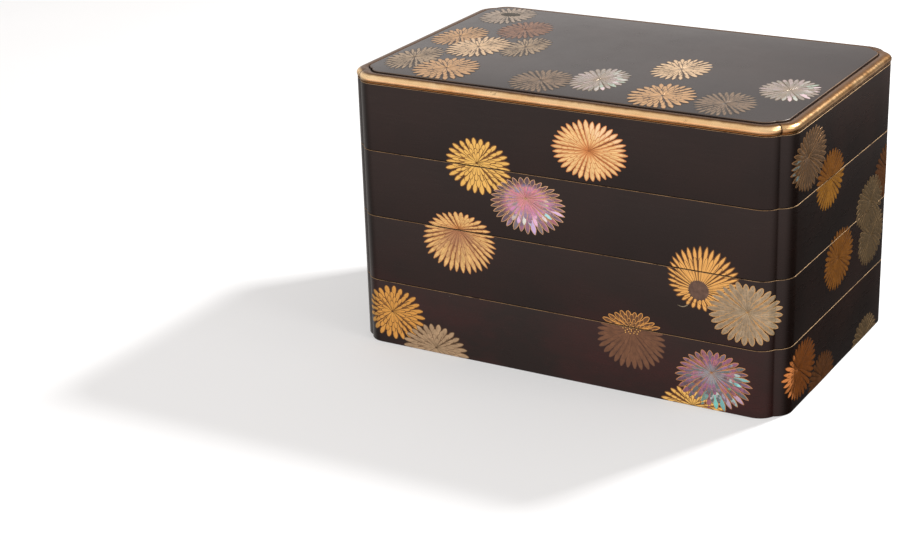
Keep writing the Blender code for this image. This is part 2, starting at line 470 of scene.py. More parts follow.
def quarter(start, end, bulge_first, steps=ROUND_STEPS):
    """Points of a quarter round between two pairs, which leaves along the first or second coordinate."""
    points = []
    for step in range(1, steps + 1):
        turn = pi / 2 * step / steps
        near, far = (sin(turn), 1 - cos(turn))
        u, v = (near, far) if bulge_first else (far, near)
        points.append((start[0] + (end[0] - start[0]) * u, start[1] + (end[1] - start[1]) * v))
    return points


def new_piece(name, mesh, node_names):
    piece = bpy.data.objects.new(name, mesh)
    bpy.context.scene.collection.objects.link(piece)
    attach(piece, "root")
    for node_name in node_names:
        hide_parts(node_name)


def bridge(body, lower, upper, zone):
    """Faces between two rings of equally many points."""
    count = len(lower)
    for i in range(count):
        j = (i + 1) % count
        face = body.faces.new((lower[i], lower[j], upper[j], upper[i]))
        face.material_index = zone
        face.smooth = True


def skin_rings(body, rings):
    """Faces from ring to ring. Each ring is an outline, its height and the zone of the band up to it."""
    made = []
    for outline, height, zone in rings:
        made.append([body.verts.new((x, y, height)) for x, y in outline])
    for index in range(1, len(made)):
        bridge(body, made[index - 1], made[index], rings[index][2])
    return made


def finish_mesh(name, body, materials, sharp=40):
    mesh = bpy.data.meshes.new(name)
    body.to_mesh(mesh)
    body.free()
    for material in materials:
        mesh.materials.append(material)
    mesh.set_sharp_from_angle(angle=radians(sharp))
    return mesh


OUTSIDE, GOLD_EDGE, INSIDE = 0, 1, 2


def lobed(inset, height, zone):
    return lobed_outline(inset), height, zone


def rounded(inset, radius, height, zone=INSIDE):
    return rounded_outline(inset, radius), height, zone


def make_tray(name, materials):
    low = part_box(name)[0].z
    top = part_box(name)[1].z - LIP_HEIGHT
    skin = RELIEF_ROOM
    rings = [
        rounded(RECESS_INSET, RECESS_RADIUS, low + RECESS_DEPTH),
        rounded(RECESS_INSET, RECESS_RADIUS, low + RECESS_CHAMFER),
        rounded(RECESS_INSET - RECESS_CHAMFER, RECESS_RADIUS, low),
        lobed(skin + FINE_EDGE, low, OUTSIDE),
    ]
    foot = quarter((skin + FINE_EDGE, low), (skin, low + FINE_EDGE), True)
    rings += [lobed(inset, z, OUTSIDE) for inset, z in foot]
    rings.append(lobed(skin, top - FINE_EDGE - GOLD_LINE, OUTSIDE))
    rings.append(lobed(skin, top - FINE_EDGE, GOLD_EDGE))
    arris = quarter((skin, top - FINE_EDGE), (skin + FINE_EDGE, top), False)
    rings += [lobed(inset, z, GOLD_EDGE) for inset, z in arris]
    lip_top = top + LIP_HEIGHT
    rings.append(rounded(LIP_INSET, LIP_RADIUS, top))
    rings.append(rounded(LIP_INSET, LIP_RADIUS, lip_top - LIP_ROUND))
    outer = quarter((LIP_INSET, lip_top - LIP_ROUND), (LIP_INSET + LIP_ROUND, lip_top), False)
    rings += [rounded(inset, LIP_RADIUS + LIP_INSET - inset, z) for inset, z in outer]
    rings.append(rounded(WALL - LIP_ROUND, INNER_RADIUS + LIP_ROUND, lip_top))
    inner = quarter((WALL - LIP_ROUND, lip_top), (WALL, lip_top - LIP_ROUND), True)
    rings += [rounded(inset, INNER_RADIUS + WALL - inset, z) for inset, z in inner]
    floor = low + RECESS_DEPTH + FLOOR
    rings.append(rounded(WALL, INNER_RADIUS, floor + FLOOR_FILLET))
    fillet = quarter((WALL, floor + FLOOR_FILLET), (WALL + FLOOR_FILLET, floor), False, FILLET_STEPS)
    rings += [rounded(inset, INNER_RADIUS + WALL - inset, z) for inset, z in fillet]

    body = bmesh.new()
    made = skin_rings(body, rings)
    for cap in (made[0][::-1], made[-1]):
        body.faces.new(cap).material_index = INSIDE
    piece_name = name + "_lacquered"
    new_piece(piece_name, finish_mesh(piece_name, body, materials), [name])


def bead_profile():
    """Pairs of inset and height over the lid's underside, from the foot up to the groove."""
    waist = BEAD_FOOT + (BEAD_HEIGHT - BEAD_FOOT) * BEAD_WAIST
    profile = [(BEAD_FOOT_INSET, 0.0)]
    for step in range(BEAD_STEPS):
        turn = pi / 2 * step / BEAD_STEPS
        profile.append((BEAD_FOOT_INSET * (1 - sin(turn)), waist - (waist - BEAD_FOOT) * cos(turn)))
    for step in range(BEAD_STEPS + 1):
        turn = pi / 2 * step / BEAD_STEPS
        profile.append((BEAD_CROWN * (1 - cos(turn)), waist + (BEAD_HEIGHT - waist) * sin(turn)))
    half_drop = BEAD_HEIGHT - BEAD_DROP * 0.35
    profile.append(((BEAD_CROWN + BEAD_WIDTH) / 2, half_drop))
    profile.append((BEAD_WIDTH - BEAD_INNER_EDGE, BEAD_HEIGHT - BEAD_DROP))
    profile.append((BEAD_WIDTH, BEAD_HEIGHT - BEAD_DROP - BEAD_INNER_EDGE))
    return profile


def panel_height(x, y):
    """Height of the swollen panel's face over the floor."""
    along = max(0.0, 1 - abs(x / (LENGTH / 2 - PANEL_INSET)) ** PANEL_SWELL)
    across = max(0.0, 1 - abs(y / (WIDTH / 2 - PANEL_INSET)) ** PANEL_SWELL)
    return LID_BASE + PANEL_EDGE_HEIGHT - RELIEF_ROOM + PANEL_RISE * along * across


BEAD, PANEL, GROOVE, UNDER, PANEL_LINE = 0, 1, 2, 3, 4


def make_lid(materials):
    body = bmesh.new()
    layer = body.verts.layers.float.new("across")
    rings = [
        rounded(RECESS_INSET, RECESS_RADIUS, LID_BASE + RECESS_DEPTH, UNDER),
        rounded(RECESS_INSET, RECESS_RADIUS, LID_BASE, UNDER),
    ]
    profile = bead_profile()
    runs = [0.0]
    for a, b in zip(profile, profile[1:]):
        runs.append(runs[-1] + hypot(b[0] - a[0], b[1] - a[1]))
    across = [0.0, 0.0] + [run / runs[-1] for run in runs]
    for index, (inset, height) in enumerate(profile):
        rings.append(lobed(inset, LID_BASE + height, BEAD if index else UNDER))
    rings.append(lobed(BEAD_WIDTH, LID_BASE + GROOVE_FLOOR, GROOVE))
    rings.append(lobed(PANEL_INSET, LID_BASE + GROOVE_FLOOR, GROOVE))
    edge = LID_BASE + PANEL_EDGE_HEIGHT - RELIEF_ROOM
    rings.append(lobed(PANEL_INSET, edge - PANEL_ROUND, GROOVE))
    start = (PANEL_INSET, edge - PANEL_ROUND)
    end = (PANEL_INSET + PANEL_ROUND, edge)
    for inset, z in quarter(start, end, False, PANEL_ROUND_STEPS):
        rings.append(lobed(inset, z, PANEL_LINE))
    across += [1.0] * (len(rings) - len(across))
    made = skin_rings(body, rings)
    for ring, value in zip(made, across):
        for vertex in ring:
            vertex[layer] = value
    body.faces.new(made[0][::-1]).material_index = UNDER

    outline = rings[-1][0]
    previous = made[-1]
    for shrink in PANEL_RINGS:
        ring = []
        for x, y in outline:
            ring.append(body.verts.new((x * shrink, y * shrink, panel_height(x * shrink, y * shrink))))
        bridge(body, previous, ring, PANEL)
        previous = ring
    middle = body.verts.new((0, 0, panel_height(0, 0)))
    for a, b in zip(previous, previous[1:] + previous[:1]):
        face = body.faces.new((a, b, middle))
        face.material_index = PANEL
        face.smooth = True
    new_piece("lid_lacquered", finish_mesh("lid_lacquered", body, materials, 50), ["lid"])


# Faces that carry flowers: flat coordinates in metres, and the way from them to the box

NO_AREA = 1e-9
NO_WIDTH = 1e-7


def wall_line():
    """The walls' outline from the front's middle round by the right, with the length run at each point."""
    outline = lobed_outline(RELIEF_ROOM)
    front = min(range(len(outline)), key=lambda i: (outline[i][1], abs(outline[i][0])))
    points = outline[front:] + outline[:front + 1]
    start = points[0]
    lengths = [start[0]]
    for a, b in zip(points, points[1:]):
        lengths.append(lengths[-1] + hypot(b[0] - a[0], b[1] - a[1]))
    return points, lengths


WALL_POINTS, WALL_LENGTHS = wall_line()
ROUND_THE_BOX = WALL_LENGTHS[-1] - WALL_LENGTHS[0]


def wall_bends():
    """Lengths along the walls at which their outline turns."""
    bends = []
    for a, b, c, length in zip(WALL_POINTS, WALL_POINTS[1:], WALL_POINTS[2:], WALL_LENGTHS[1:]):
        turn = (b[0] - a[0]) * (c[1] - b[1]) - (b[1] - a[1]) * (c[0] - b[0])
        if abs(turn) > NO_AREA:
            bends.append(length)
    return bends


WALL_BENDS = wall_bends()


def to_wall(s, z, height):
    """The place on the walls at a length run round the box, a height, and a distance off the face."""
    run = (s - WALL_LENGTHS[0]) % ROUND_THE_BOX + WALL_LENGTHS[0]
    low, high = 0, len(WALL_LENGTHS) - 1
    while high - low > 1:
        middle = (low + high) // 2
        if WALL_LENGTHS[middle] <= run:
            low = middle
        else:
            high = middle
    a, b = WALL_POINTS[low], WALL_POINTS[high]
    span = WALL_LENGTHS[high] - WALL_LENGTHS[low]
    t = (run - WALL_LENGTHS[low]) / span
    out = ((b[1] - a[1]) / span, (a[0] - b[0]) / span)
    x = a[0] + (b[0] - a[0]) * t + out[0] * height
    y = a[1] + (b[1] - a[1]) * t + out[1] * height
    return (x, y, z)


def to_panel(x, y, height):
    return (x, y, panel_height(x, y) + height)


# Flowers

SINK = 0.05 * MM
SEAM_ROOM = 0.02 * MM
PANEL_MARGIN = 0.9 * MM
BOSS_SIDES = 16
BOSS_RINGS = ((1.0, None), (0.97, 0.3), (0.7, 0.75), (0.35, 0.95))
FAR_FROM_EDGE = 9.0
LAYER_SIZES = (1.0, 0.80, 0.61, 0.43, 0.27)
LAYER_SHARES = (1.0, 0.86, 0.72, 0.56, 0.38)
LEVEL_LIFT = 0.05 * MM
LAYER_LIFT = 0.030 * MM
TURN_PLAY = 0.05
SHORTEST = 0.94
SHOULDER = 0.74
TIP_BEND = 1.5
TIP_TAPER = 1.3
END_RISE = 0.6
ROWS = (0.0, 0.05, 0.58, 0.74, 0.82, 0.89, 0.95, 1.0)
COLUMNS = ((-1.0, 0.0), (-0.97, 0.45), (-0.5, 0.9), (0.0, 1.0), (0.5, 0.9), (0.97, 0.45), (1.0, 0.0))


def petal_width(t, spacing, taper):
    """Half width along a petal, which widens to its shoulder clear of its neighbours, then narrows."""
    beyond = max(0.0, (t - SHOULDER) / (1 - SHOULDER))
    return spacing * min(0.49 * t, 0.50 * max(0.0, 1 - beyond ** TIP_BEND) ** (TIP_TAPER * taper))


def add_petal(body, layers, root, tip, spacing, taper, lift, thick, chance, reach, glance):
    """One closed petal that tapers to its root, with a steep edge, a domed face and a sunk underside."""
    data, ribs, light_side = layers
    run = (tip[0] - root[0], tip[1] - root[1])
    length = hypot(*run)
    side = (-run[1] / length, run[0] / length)
    rows = []
    for t in ROWS:
        width = petal_width(t, spacing, taper)
        height = thick * (END_RISE if t > 0.9 else 1.0)
        row = []
        for v, rise in ((0.0, 0.0),) if width < NO_WIDTH else COLUMNS:
            x = root[0] + run[0] * t + side[0] * width * v
            y = root[1] + run[1] * t + side[1] * width * v
            vertex = body.verts.new((x, y, lift + height * rise if rise else -SINK))
            margin = min(width * (1 - abs(v)), length * (1 - t)) / MM
            vertex[data] = (margin, t, chance, reach * t)
            vertex[ribs] = abs(v)
            vertex[light_side] = glance
            row.append(vertex)
        rows.append(row)
    for lower, upper in zip(rows, rows[1:]):
        if len(lower) == 1:
            pairs = [(lower[0], a, b) for a, b in zip(upper, upper[1:])]
        elif len(upper) == 1:
            pairs = [(a, upper[0], b) for a, b in zip(lower, lower[1:])]
        else:
            pairs = [(a, c, d, b) for a, b, c, d in zip(lower, lower[1:], upper, upper[1:])]
        for corners in pairs:
            body.faces.new(corners).smooth = True
    edge = [row[0] for row in rows] + [row[-1] for row in rows[-2:0:-1]]
    body.faces.new(edge)


def petal_layers(body):
    petal = body.verts.layers.float_color.new("petal")
    return petal, body.verts.layers.float.new("ribs"), body.verts.layers.float.new("glance")


def petal_spacing(root, tip, other):
    """How far a petal's tip is from the next petal's middle line."""
    a = (tip[0] - root[0], tip[1] - root[1])
    b = (other[0] - root[0], other[1] - root[1])
    return abs(a[0] * b[1] - a[1] * b[0]) / max(hypot(*a), hypot(*b))


def make_flower(seed, half, shift, petals, layer_count, taper, level, thick, light_from):
    """A chrysanthemum head round its own centre. Its petals towards light_from glance most."""
    dice = random.Random(seed)
    body = bmesh.new()
    layers = petal_layers(body)
    light = radians(light_from)
    for k, size in enumerate(LAYER_SIZES[:layer_count]):
        count = max(7, round(petals * LAYER_SHARES[k]))
        centre = (shift[0] * (1 - size), shift[1] * (1 - size))
        turns = []
        for i in range(count):
            turns.append(2 * pi * (i + 0.5 * (k % 2) + dice.uniform(-TURN_PLAY, TURN_PLAY)) / count)
        tips = []
        for turn in turns:
            long = size * dice.uniform(SHORTEST, 1.0)
            tips.append((centre[0] + half[0] * long * cos(turn), centre[1] + half[1] * long * sin(turn)))
        for i, tip in enumerate(tips):
            neighbours = (tips[i - 1], tips[(i + 1) % count])
            spacing = min(petal_spacing(shift, tip, other) for other in neighbours)
            lift = LEVEL_LIFT * level + LAYER_LIFT * k
            glance = 0.5 + 0.5 * cos(turns[i] - light) * size
            chance = dice.random()
            add_petal(body, layers, shift, tip, spacing, taper, lift, thick * MM, chance, size, glance)
    return body


class Collector:
    """Gathers the flower parts of one node and one finish in one mesh."""

    def __init__(self):
        self.body = bmesh.new()
        self.materials = []

    def add(self, part, material):
        if material not in self.materials:
            self.materials.append(material)
        for face in part.faces:
            face.material_index = self.materials.index(material)
        mesh = bpy.data.meshes.new("part")
        part.to_mesh(mesh)
        self.body.from_mesh(mesh)
        bpy.data.meshes.remove(mesh)


collectors = {}


def collect(node_name, slot, part, material):
    collectors.setdefault((node_name, slot), Collector()).add(part, material)


def cut(body, axis, value, outward=1, trim=False):
    """Cuts faces along a plane. Where it trims, what lies outward goes and the cut is closed."""
    point = [0.0, 0.0, 0.0]
    point[axis] = value
    normal = [0.0, 0.0, 0.0]
    normal[axis] = outward
    geometry = body.verts[:] + body.edges[:] + body.faces[:]
    made = bmesh.ops.bisect_plane(
        body, geom=geometry, plane_co=point, plane_no=normal, clear_outer=trim, dist=NO_WIDTH,
    )
    edges = [e for e in made["geom_cut"] if isinstance(e, bmesh.types.BMEdge)]
    edges = [e for e in edges if e.is_valid and e.is_boundary]
    if trim and edges:
        bmesh.ops.holes_fill(body, edges=edges, sides=0)


def settle(body, centre, to_face, limits):
    """Moves a flat part to its centre, trims it to its face's limits and lays it on the box."""
    for vertex in body.verts:
        vertex.co.x += centre[0]
        vertex.co.y += centre[1]
    for axis, low, high in limits:
        cut(body, axis, low, -1, trim=True)
        cut(body, axis, high, 1, trim=True)
    if to_face is to_wall and body.verts:
        reaches = [v.co.x for v in body.verts]
        for bend in WALL_BENDS:
            if min(reaches) < bend < max(reaches):
                cut(body, 0, bend)
    for vertex in body.verts:
        vertex.co = to_face(*vertex.co)
    if body.faces:
        bmesh.ops.recalc_face_normals(body, faces=body.faces)
    return len(body.faces)


def tray_limits(name):
    low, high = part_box(name)
    return low.z + FINE_EDGE + SEAM_ROOM, high.z - LIP_HEIGHT - FINE_EDGE - GOLD_LINE


def on_walls(flat, centre, slot, looks):
    """Lays a flat part on the trays that it crosses. Looks are one material, or some by tray."""
    heights = [v.co.y + centre[1] for v in flat.verts]
    for name in TRAY_NAMES:
        low, high = tray_limits(name)
        if max(heights) < low or min(heights) > high:
            continue
        part = flat.copy()
        if settle(part, centre, to_wall, [(1, low, high)]):
            material = looks.get(name, looks.get("other")) if isinstance(looks, dict) else looks
            collect(name, slot, part, material)
        part.free()


def on_panel(flat, centre, slot, material):
    edge = PANEL_INSET + PANEL_MARGIN
    limits = [(0, edge - LENGTH / 2, LENGTH / 2 - edge), (1, edge - WIDTH / 2, WIDTH / 2 - edge)]
    part = flat.copy()
    if settle(part, centre, to_panel, limits):
        collect("lid", slot, part, material)
    part.free()


# Petal colours, as display levels from 0 to 255
GOLD_FILL = (255, 214, 120)
BROWN_LINE = (120, 76, 32)
BRIGHT_SHELL = {
    "centre": (224, 146, 154),
    "tints": (
        (150, 134, 164), (206, 138, 176), (134, 130, 146), (214, 146, 200), (156, 150, 134),
        (146, 144, 186), (220, 136, 156), (134, 122, 134),
    ),
    "painted_glints": (
        (240, 250, 255), (110, 214, 230), (244, 160, 230), (226, 236, 226), (200, 220, 180),
        (170, 240, 246), (236, 190, 240),
    ),
    "bareness_and_rim_shade": 0.85,
}
DEEP_SHELL = {
    "centre": (150, 160, 168),
    "tints": (
        (122, 96, 122), (176, 112, 150), (96, 92, 104), (160, 118, 160), (92, 124, 116), (130, 110, 140),
        (184, 118, 136), (96, 84, 86),
    ),
    "painted_glints": ((150, 236, 240), (60, 176, 120), (232, 150, 200), (120, 190, 190), (220, 230, 230)),
    "bareness_and_rim_shade": 0.35,
}
PALE_SHELL = {
    "centre": (150, 134, 118),
    "tints": ((136, 124, 108), (158, 142, 132), (128, 124, 112), (168, 150, 148), (120, 110, 98)),
    "painted_glints": ((206, 202, 196), (150, 166, 150), (214, 186, 192)),
    "bareness_and_rim_shade": 0.0,
}

SHELL = dict(fill_metal=0.45, line_metal=0.8, roughness=0.22)
DULL = dict(fill_metal=0.2, line_metal=0.1, roughness=0.5, line_width=0.3, specular=0.1)
LID = dict(clouds=0.15, line_width=0.52, line_metal=0.1)

# Petal looks: the fill, the line round it and what differs from the plain petal
LOOK_VALUES = {
    "flat_gold": (GOLD_FILL, BROWN_LINE, dict(clouds=0.08, line_width=0.42)),
    "orange_gold": ((232, 178, 92), (96, 58, 24), dict(clouds=0.1, line_width=0.42)),
    "peach_gold": ((255, 224, 158), (190, 118, 66), dict(
        clouds=0.15, line_width=0.26, roughness=0.34, shade=(226, 152, 92), painted_highlight=(255, 232, 186),
        painted_highlight_from=0.75,
    )),
    "worn_gold": ((255, 220, 146), (146, 94, 56), dict(
        clouds=0.24, shade=(216, 152, 90), roughness=0.34, worn=(172, 130, 100), worn_reach=(0.45, 0.95),
        line_width=0.25,
    )),
    "back_gold": ((252, 200, 116), (112, 70, 30), dict(clouds=0.1, line_width=0.38)),
    "olive_silver": ((196, 170, 134), (112, 90, 64), dict(fill_metal=0.5, line_metal=0.5, line_width=0.32)),
    "beige_silver": ((184, 166, 136), (206, 168, 112), dict(
        fill_metal=0.5, line_metal=0.8, vein=(136, 120, 94), line_width=0.28, clouds=0.3,
    )),
    "brown_copper": ((132, 90, 62), (96, 64, 46), dict(fill_metal=0.25, line_metal=0.2, roughness=0.55)),
    "lined_copper": ((120, 84, 54), (224, 172, 98), dict(fill_metal=0.4, line_metal=0.9, line_width=0.32)),
    "bright_shell": (BRIGHT_SHELL, (206, 172, 132), dict(SHELL, line_width=0.27)),
    "deep_shell": (DEEP_SHELL, (186, 140, 96), dict(SHELL, line_width=0.28)),
    "pale_shell": (PALE_SHELL, (128, 112, 92), dict(fill_metal=0.4, line_metal=0.7, roughness=0.22)),
    # Darker silver looks for the heads on the right end: painted shade
    "grey_brown": ((80, 64, 40), (106, 84, 54), dict(
        fill_metal=0.3, line_metal=0.4, roughness=0.5, specular=0.2,
    )),
    "grey_shell": ((90, 66, 40), (136, 100, 62), dict(
        fill_metal=0.35, line_metal=0.6, roughness=0.35, painted_highlight=(140, 200, 208), painted_highlight_from=0.95,
        line_width=0.32,
    )),
    # Darker gold and copper looks for the heads on the right end: painted shade
    "side_orange": ((114, 69, 12), (80, 45, 10), DULL),
    "side_yellow": ((136, 90, 20), (88, 54, 14), DULL),
    "side_copper": ((106, 56, 8), (72, 38, 8), dict(DULL, painted_highlight=(206, 128, 70), painted_highlight_from=0.74)),
    "dark_copper": ((80, 46, 16), (56, 32, 12), dict(fill_metal=0.2, roughness=0.55, specular=0.1)),
    "lid_gold": ((208, 166, 122), (46, 30, 18), LID),
    "lid_light_gold": ((228, 196, 158), (58, 40, 26), LID),
    "lid_beige": ((184, 160, 132), (46, 34, 24), dict(LID, clouds=0.2)),
    "lid_grey": ((144, 121, 100), (46, 38, 30), dict(fill_metal=0.6, line_width=0.5, line_metal=0.1)),
    "lid_red": ((146, 108, 86), (54, 34, 26), dict(fill_metal=0.5, line_width=0.5, line_metal=0.1)),
    "lid_silver": ((182, 164, 146), (48, 40, 32), dict(LID, line_width=0.5)),
    "brown_disc": ((122, 94, 78), (122, 94, 78), dict(fill_metal=0.3, roughness=0.5, clouds=0.4)),
    "olive_patch": ((58, 50, 36), (58, 50, 36), dict(fill_metal=0.3, roughness=0.5, clouds=0.3)),
    "plain_gold": ((214, 158, 88), BROWN_LINE, dict(line_width=0.32, roughness=0.5)),
    "plain_grey": ((132, 118, 96), (92, 80, 64), dict(fill_metal=0.4, roughness=0.5, line_width=0.27)),
}
LOOKS = {}
for look, (fill, line, values) in LOOK_VALUES.items():
    LOOKS[look] = petal_material(look, fill, line, **values)

# Looks of the two flowers whose petals change from tray to tray
LOOKS_BY_TRAY = {
    "brown_by_tray": {"tray_bottom": LOOKS["brown_copper"], "other": LOOKS["lined_copper"]},
    "side_by_tray": {"tray_top": LOOKS["side_orange"], "other": LOOKS["side_yellow"]},
}

# Flower heads by name: finish, look, centre, half size, shift of the petals' root off the centre,
# petals in the outer ring, rings, taper of the tips, level and thickness. Lengths are in millimetres.
# On the walls they run from the front's middle round by the right, and up.
WALL_FLOWERS = {
    "front_yellow": ("gold", "flat_gold", (-44.5, 111.2), (20.8, 16.2), (-0.8, 1.6), 26, 4, 0.5, 0, 0.08),
    "front_peach": ("gold", "peach_gold", (19.7, 128.2), (22.3, 16.6), (-0.4, 0), 34, 4, 0.61, 0, 0.11),
    "front_shell": ("shell", "bright_shell", (-15.9, 93.6), (22.8, 16), (-1, 4), 32, 3, 0.62, 1, 0.09),
    "front_worn": ("gold", "worn_gold", (-57.5, 66.5), (23.6, 18.3), (0, 7.6), 34, 4, 0.61, 0, 0.11),
    "corner_orange": ("gold", "orange_gold", (-99.6, 18.7), (20.2, 16.6), (-1.6, 0.8), 24, 4, 0.45, 0, 0.08),
    "foot_olive": ("silver", "olive_silver", (-74.4, 0.9), (21.4, 16.5), (0.4, 2.2), 26, 4, 0.51, 1, 0.09),
    "rear_view": ("gold", "back_gold", (82.2, 70.5), (20.8, 18), (-2.4, -6.8), 34, 2, 0.58, 0, 0.1),
    "front_beige": ("silver", "beige_silver", (104.6, 55.3), (20.8, 17.4), (1.4, 1.4), 28, 4, 0.51, 1, 0.1),
    "front_brown": ("copper", "brown_by_tray", (42.9, 29.6), (20.6, 17.2), (0.2, 5.6), 30, 4, 0.55, 0, 0.09),
    "low_shell": ("shell", "deep_shell", (88.4, 16.1), (21.6, 17.2), (-1, 4.5), 30, 3, 0.61, 1, 0.09),
    "foot_gold": ("gold", "flat_gold", (77.7, -5.6), (21.4, 16.8), (-0.4, 5.8), 28, 4, 0.55, 0, 0.08),
    "side_grey": ("silver", "grey_shell", (147.7, 129.7), (22.7, 16.8), (-3.9, 1.9), 30, 4, 0.59, 1, 0.1),
    "side_two_golds": ("gold", "side_by_tray", (176.4, 109.9), (21, 16.5), (-0.4, 0.9), 30, 4, 0.58, 0, 0.1),
    "far_brown": ("copper", "dark_copper", (264.6, 88.7), (21, 16.5), (0, 0), 28, 4, 0.56, 0, 0.1),
    "far_olive": ("silver", "grey_brown", (238.1, 77.7), (21.6, 15.1), (1, 1), 28, 4, 0.58, 1, 0.1),
    "far_grey": ("silver", "grey_brown", (242.8, 57.3), (21, 16.5), (0, 1), 28, 4, 0.58, 0, 0.1),
    "side_gold": ("gold", "side_orange", (193.5, 61.5), (22.3, 17.4), (-0.9, 0.5), 32, 4, 0.59, 0, 0.1),
    "far_foot_grey": ("silver", "grey_brown", (239.1, -3.4), (21, 16.5), (0, 3), 28, 4, 0.58, 0, 0.1),
    "corner_copper": ("copper", "side_copper", (144.4, 18.7), (20.7, 16.5), (-5, 2), 28, 4, 0.51, 1, 0.1),
    "foot_copper": ("copper", "dark_copper", (173.5, 1.2), (20, 16.5), (0, 2), 28, 4, 0.58, 0, 0.1),
}

# Guessed plainer heads on the back and the left end: finish, look, centre and level
PLAIN_FLOWERS = {
    "back_upper_gold": ("gold", "plain_gold", (330, 122), 0),
    "back_upper_grey": ("silver", "plain_grey", (352, 104), 1),
    "back_brown": ("copper", "dark_copper", (448, 90), 0),
    "back_low_gold": ("gold", "plain_gold", (472, 36), 0),
    "back_low_grey": ("silver", "plain_grey", (446, 20), 1),
    "left_grey": ("silver", "plain_grey", (566, 116), 0),
    "left_gold": ("gold", "plain_gold", (628, 72), 0),
    "left_brown": ("copper", "dark_copper", (586, 14), 0),
}
for head, (finish, look, centre, level) in PLAIN_FLOWERS.items():
    WALL_FLOWERS[head] = (finish, look, centre, (21, 16.5), (0, 1), 26, 3, 0.55, level, 0.08)

# The lid's heads have their petals' root at the centre, so their rows name no shift
LID_FLOWERS = {
    "lid_patched": ("silver", "lid_silver", (-99.5, 54.4), (16.6, 22), 26, 3, 0.55, 0, 0.1),
    "lid_reddish": ("copper", "lid_red", (-73.8, 27.8), (16.2, 20.8), 26, 4, 0.55, 0, 0.09),
    "lid_left_gold": ("gold", "lid_gold", (-102, 3.8), (15.5, 21.9), 24, 4, 0.53, 0, 0.1),
    "lid_bright": ("gold", "lid_light_gold", (-80.6, -13.4), (17.6, 23.1), 26, 4, 0.55, 1, 0.1),
    "lid_green": ("gold", "lid_beige", (-56.1, -4.8), (12.7, 22.1), 24, 4, 0.55, 0, 0.1),
    "lid_left_brown": ("silver", "lid_beige", (-103, -43.6), (14.9, 24), 26, 4, 0.55, 0, 0.1),
    "lid_front_gold": ("gold", "lid_gold", (-76, -55.9), (19.1, 20.5), 24, 4, 0.53, 1, 0.1),
    "lid_front_grey": ("silver", "lid_grey", (-19.5, -56.5), (17.8, 19.5), 28, 4, 0.55, 0, 0.1),
    "lid_shell": ("shell", "pale_shell", (8, -43.8), (15.4, 20.8), 28, 3, 0.55, 1, 0.1),
    "lid_pale": ("gold", "lid_light_gold", (38.5, -10.6), (15.8, 21.9), 24, 4, 0.53, 0, 0.1),
    "lid_right_gold": ("gold", "lid_gold", (48.5, -56.1), (18.1, 21.1), 24, 4, 0.51, 1, 0.1),
    "lid_dim": ("silver", "lid_grey", (81.8, -54.8), (16.4, 20.2), 28, 4, 0.58, 0, 0.09),
    "lid_pink_shell": ("shell", "pale_shell", (101.8, -20.1), (15.8, 20.4), 28, 3, 0.58, 0, 0.1),
}

# Which way the petals that catch the light point, in degrees, where it isn't 0
LIGHT_FROM = {
    "front_peach": 60, "front_shell": -50, "front_worn": -90, "rear_view": 90, "low_shell": -30,
    "side_grey": 190, "corner_copper": 180,
}

WALL_SEED = 1
LID_SEED = 101
POLLEN_SEED = 77


def millimetres(pair):
    return (pair[0] * MM, pair[1] * MM)


def mark_evenly(body, layers, chance):
    """Petal data of a part without petals: far from any outline, and half way to the light."""
    for vertex in body.verts:
        vertex[layers[0]] = (FAR_FROM_EDGE, 0.5, chance, 0.5)
        vertex[layers[1]] = 1.0
        vertex[layers[2]] = 0.5


def make_boss(half, height, chance):
    """A low closed dome on an oval: a flower's centre, a dot or a patch."""
    body = bmesh.new()
    layers = petal_layers(body)
    rings = []
    for ring_reach, rise in BOSS_RINGS:
        ring = []
        for i in range(BOSS_SIDES):
            turn = 2 * pi * i / BOSS_SIDES
            x, y = half[0] * ring_reach * cos(turn), half[1] * ring_reach * sin(turn)
            ring.append(body.verts.new((x, y, -SINK if rise is None else height * rise)))
        rings.append(ring)
    for outer, inner in zip(rings, rings[1:]):
        bridge(body, outer, inner, 0)
    body.faces.new(rings[-1]).smooth = True
    body.faces.new(rings[0][::-1])
    mark_evenly(body, layers, chance)
    return body


def make_stroke(points, half_width, height):
    """A thin closed line through flat points, widest in its middle, such as a drawn stem."""
    body = bmesh.new()
    layers = petal_layers(body)
    rows = []
    for i, (x, y) in enumerate(points):
        before = points[max(0, i - 1)]
        after = points[min(len(points) - 1, i + 1)]
        run = (after[0] - before[0], after[1] - before[1])
        length = hypot(*run)
        side = (-run[1] / length, run[0] / length)
        width = half_width * (0.35 + 0.65 * sin(pi * i / (len(points) - 1)))
        row = []
        for v, level in ((-1.0, -SINK), (0.0, height), (1.0, -SINK)):
            row.append(body.verts.new((x + side[0] * width * v, y + side[1] * width * v, level)))
        rows.append(row)
    for lower, upper in zip(rows, rows[1:]):
        for k in range(3):
            j = (k + 1) % 3
            body.faces.new((lower[k], upper[k], upper[j], lower[j])).smooth = True
    body.faces.new(rows[0][::-1])
    body.faces.new(rows[-1])
    mark_evenly(body, layers, 0.5)
    return body


def curve_points(start, bend, end, count=9):
    """Points of a simple curve from start to end that is pulled towards bend, in metres."""
    points = []
    for i in range(count):
        t = i / (count - 1)
        near, pull, far = (1 - t) ** 2, 2 * t * (1 - t), t * t
        points.append(tuple((near * a + pull * b + far * c) * MM for a, b, c in zip(start, bend, end)))
    return points


def lay_and_free(flat, lay, *rest):
    lay(flat, *rest)
    flat.free()


